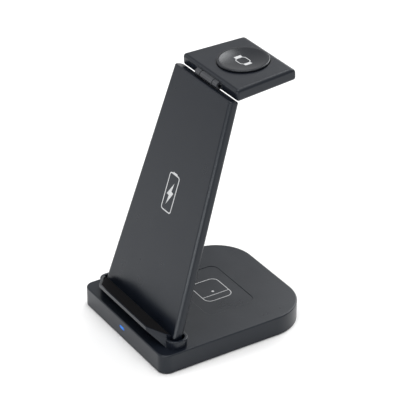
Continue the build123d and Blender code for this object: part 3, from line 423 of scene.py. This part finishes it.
# Foot screws: cold-headed steel screws, zinc plated like those of the base.
# They are driven up from inside the base, through its roof and the collar, into the panel's foot.
dress(steel, "panel_foot_screws")

# Panel front shell: the face and half the sides of the leaning panel, moulded in charcoal plastic.
# A white outline of a phone with a bolt in it is pad printed on the face.
dress(charcoal, "panel_front_shell")


def largest_face(node, way, least):
    """The largest face of a frame node whose normal points along a way, by at least that share."""
    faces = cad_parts[node].data.polygons
    return max((face for face in faces if face.normal.dot(way) > least), key=lambda face: face.area)


panel_face = largest_face("panel_front_shell", Vector((0, -1, 0)), least=0.5)
face_out = panel_face.normal
panel_up = Vector((0, face_out.z, -face_out.y))
panel_turn = math.atan2(-face_out.y, face_out.z)
foot_y = panel_face.center.y - face_out.z * (base_top - panel_face.center.z) / face_out.y
panel_foot = Vector((0, foot_y, base_top))
phone_width, phone_height = 10.4 * mm, 23.2 * mm
phone_corner = 1.9 * mm
phone_stroke = 0.68 * mm
phone_middle_up = 78.8 * mm
phone_middle_x = -0.6 * mm
ear_width, ear_height = 4.4 * mm, 0.7 * mm
bolt_disc_radius = 3 * mm
bolt_corners = [(1.5, 6.4), (-3.1, -1.6), (-0.8, -1.8), (-1.5, -7.5), (3.0, 0.6), (0.8, 1.1)]


def ink_bolt(name, corners):
    """A flat lightning bolt: a six-sided disc with each corner moved to its place."""
    bpy.ops.object.select_all(action="DESELECT")
    bpy.ops.mesh.primitive_circle_add(
        vertices=len(corners), radius=bolt_disc_radius, fill_type="NGON")
    bolt = bpy.context.object
    bolt.name = name
    for index, (x, y) in enumerate(corners):
        bpy.ops.object.mode_set(mode="EDIT")
        bpy.ops.mesh.select_mode(type="VERT")
        bpy.ops.mesh.select_all(action="DESELECT")
        bpy.ops.object.mode_set(mode="OBJECT")
        corner = bolt.data.vertices[index]
        corner.select = True
        move = Vector((x * mm, y * mm, 0)) - corner.co
        bpy.ops.object.mode_set(mode="EDIT")
        bpy.ops.transform.translate(value=move)
        bpy.ops.object.mode_set(mode="OBJECT")
    return bolt


print_mark(
    "phone_mark",
    [ink_outline("phone_outline", phone_width, phone_height, phone_corner, phone_stroke),
     ink_bar("phone_ear", ear_width, ear_height, 0, (phone_height + ear_height) / 2),
     ink_bolt("phone_bolt", bolt_corners)],
    "panel_front_shell",
    panel_foot + panel_up * phone_middle_up + face_out * ink_lift + Vector((phone_middle_x, 0, 0)),
    panel_turn, "stand")

# Phone coils and ferrite: two overlapping flat coils of enamelled copper behind the panel's face.
# The lower one lies against the face, the upper one on it, and a ferrite sheet backs both.
for coil in ("phone_coil_lower", "phone_coil_upper"):
    wound(coil + "_windings", coil, panel_turn)
dress(ferrite, "phone_ferrite")

# Panel rear cover: the rear half of the panel in charcoal plastic, clipped into the front shell.
# Ribs inside it press the ferrite sheet and the coils against the face.
dress(charcoal, "panel_rear_cover")

# Panel hinge bracket: pressed steel leaf with two rolled knuckles, coated black.
# It is screwed inside the panel's top end, and the knuckles stand out through slots.
coated, *_ = grained(
    "black_coated_steel", dark=(0.0290, 0.0315, 0.0370), light=(0.0360, 0.0385, 0.0445),
    pit_size=0.2 * mm, cloud_size=6 * mm, gloss=(0.26, 0.34), relief=0.08)
dress(coated, "panel_hinge_bracket")
dress(steel, "panel_bracket_screws")

# Hinge pin and friction washers: a ground steel pin, oil blackened and pressed into the outer
# knuckles, and two dark nylon washers that give the platform its drag.
ground, _, ground_shader, *_ = grained(
    "blackened_steel", dark=(0.020, 0.021, 0.023), light=(0.028, 0.029, 0.032),
    pit_size=0.1 * mm, cloud_size=1 * mm, gloss=(0.18, 0.28), relief=0.2, stretch=(0.1, 1, 1))
ground_shader.inputs["Metallic"].default_value = 1
dress(ground, "hinge_pin")
nylon, _, nylon_shader, *_ = grained(
    "dark_nylon", dark=(0.0040, 0.0040, 0.0042), light=(0.0060, 0.0060, 0.0064),
    pit_size=0.1 * mm, cloud_size=1 * mm, gloss=(0.55, 0.70), relief=0.2)
nylon_shader.inputs["Specular IOR Level"].default_value = 0.25
dress(nylon, "hinge_washers")

# Platform hinge bracket: black-coated steel block with the centre knuckle, screwed inside the
# watch platform, so that its front fills the middle of the platform's front end.
dress(coated, "platform_hinge_bracket")
dress(steel, "platform_bracket_screws")

# Platform top shell: moulded in charcoal plastic, with a round hole that the puck stands in.
# It fits over the platform's hinge bracket, and the bottom cover closes it from below.
dress(charcoal, "platform_top_shell")

# Watch puck: dished disc in a smoother black plastic, held by a flange under the shell's top.
# A white outline of a watch is pad printed on the dish.
puck_skin, _, puck_shader, *_ = grained(
    "puck_plastic", dark=(0.0040, 0.0050, 0.0080), light=(0.0052, 0.0064, 0.0098),
    pit_size=0.18 * mm, cloud_size=10 * mm, gloss=(0.20, 0.25), relief=0.04)
puck_shader.inputs["IOR"].default_value = 1.46
puck_shader.inputs["Specular Tint"].default_value = cool_sheen
dress(puck_skin, "watch_puck")
platform_face = largest_face("platform_top_shell", Vector((0, 0, 1)), least=0.9)
platform_out = platform_face.normal
platform_turn = math.atan2(-platform_out.y, platform_out.z)
watch_case_width, watch_case_depth = 8.2 * mm, 7.0 * mm
watch_corner = 2.4 * mm
watch_stroke = 0.44 * mm
watch_lift = 4 * mm
watch_case_cuts, strap_cuts = 3, 4
strap_length, strap_width = 2.1 * mm, 4.5 * mm
strap_middle = (watch_case_width + strap_length) / 2
print_mark(
    "watch_mark",
    [ink_outline("watch_case", watch_case_width, watch_case_depth, watch_corner, watch_stroke,
                 cuts=watch_case_cuts),
     ink_bar("strap_left", strap_length, strap_width, -strap_middle, 0, cuts=strap_cuts),
     ink_bar("strap_right", strap_length, strap_width, strap_middle, 0, cuts=strap_cuts)],
    "watch_puck", centre_of("watch_magnet") + platform_out * watch_lift, -platform_turn,
    "watch_platform")

# Watch coil, magnet, ferrite and board: the charging stack in the puck's pocket. A flat copper coil
# lies round a nickel-plated magnet, and a ferrite disc and a small round board close it from below.
wound("watch_windings", "watch_coil", -platform_turn)
nickel, _, nickel_shader, *_ = grained(
    "nickel_plating", dark=(0.55, 0.53, 0.50), light=(0.66, 0.64, 0.60),
    pit_size=0.12 * mm, cloud_size=2 * mm, gloss=(0.12, 0.22), relief=0.1)
nickel_shader.inputs["Metallic"].default_value = 1
dress(nickel, "watch_magnet")
dress(ferrite, "watch_ferrite")
etched("watch_board_mask", "watch_circuit_board", -platform_turn)

# Platform bottom cover and its screws: a charcoal plate with a locating rim, closed from below
# by four small steel screws sunk in its underside.
dress(charcoal, "platform_bottom_cover")
dress(steel, "platform_screws")

# Floor: a wide sheet of white studio paper, lit by white walls, a soft light overhead, softboxes
# behind the stand and at its front left, and a low strip light at its front right.
floor_size = 8
wall_colour, wall_glow = (1, 1, 1, 1), 0.62
bpy.ops.object.select_all(action="DESELECT")
bpy.ops.mesh.primitive_plane_add(size=floor_size)
floor = bpy.context.object
floor.name = "studio_floor"
paper, _, paper_shader, *_ = grained(
    "white_paper", dark=(0.90, 0.90, 0.90), light=(0.93, 0.93, 0.93),
    pit_size=0.5 * mm, cloud_size=60 * mm, gloss=(0.85, 0.95), relief=0.05)
paper_shader.inputs["Specular IOR Level"].default_value = 0.1
floor.data.materials.append(paper)

walls = bpy.data.worlds.new("studio_walls")
bpy.context.scene.world = walls
walls.use_nodes = True
wall_light = walls.node_tree.nodes["Background"]
wall_light.inputs["Color"].default_value = wall_colour
wall_light.inputs["Strength"].default_value = wall_glow


def hang_light(name, width, height, power, place, target=(0, 0, 0.06)):
    """A rectangular soft light that faces the target."""
    light = bpy.data.lights.new(name, "AREA")
    light.shape = "RECTANGLE"
    light.size = width
    light.size_y = height
    light.energy = power
    stand = bpy.data.objects.new(name, light)
    bpy.context.scene.collection.objects.link(stand)
    stand.location = place
    stand.rotation_euler = (Vector(target) - Vector(place)).to_track_quat("-Z", "Y").to_euler()


hang_light("overhead_light", width=1.6, height=1.6, power=26, place=(0.1, -0.1, 2.0))
hang_light("rear_softbox", width=1.6, height=1.2, power=24, place=(-0.67, 1.535, 1.15))
hang_light("front_softbox", width=0.9, height=0.6, power=1.5, place=(-1.20, -0.82, 0.82))
hang_light("low_strip_light", width=0.9, height=0.12, power=2.2, place=(0.36, -0.78, 0.06))

# Camera: a long lens that looks down on the stand from its front right.
# Its lens and sensor are in millimetres, its place is in metres and its tilt and turn in degrees.
sensor_width, lens_length = 36, 171
camera_place = (0.8093, -0.5054, 0.6281)
camera_tilt, camera_turn = 60.02, 57.92
camera = bpy.data.cameras.new("photo_camera")
camera.sensor_width = sensor_width
camera.lens = lens_length
camera_stand = bpy.data.objects.new("photo_camera", camera)
bpy.context.scene.collection.objects.link(camera_stand)
camera_stand.location = camera_place
camera_stand.rotation_euler = (math.radians(camera_tilt), 0, math.radians(camera_turn))
bpy.context.scene.camera = camera_stand
bpy.context.scene.view_settings.view_transform = "Standard"
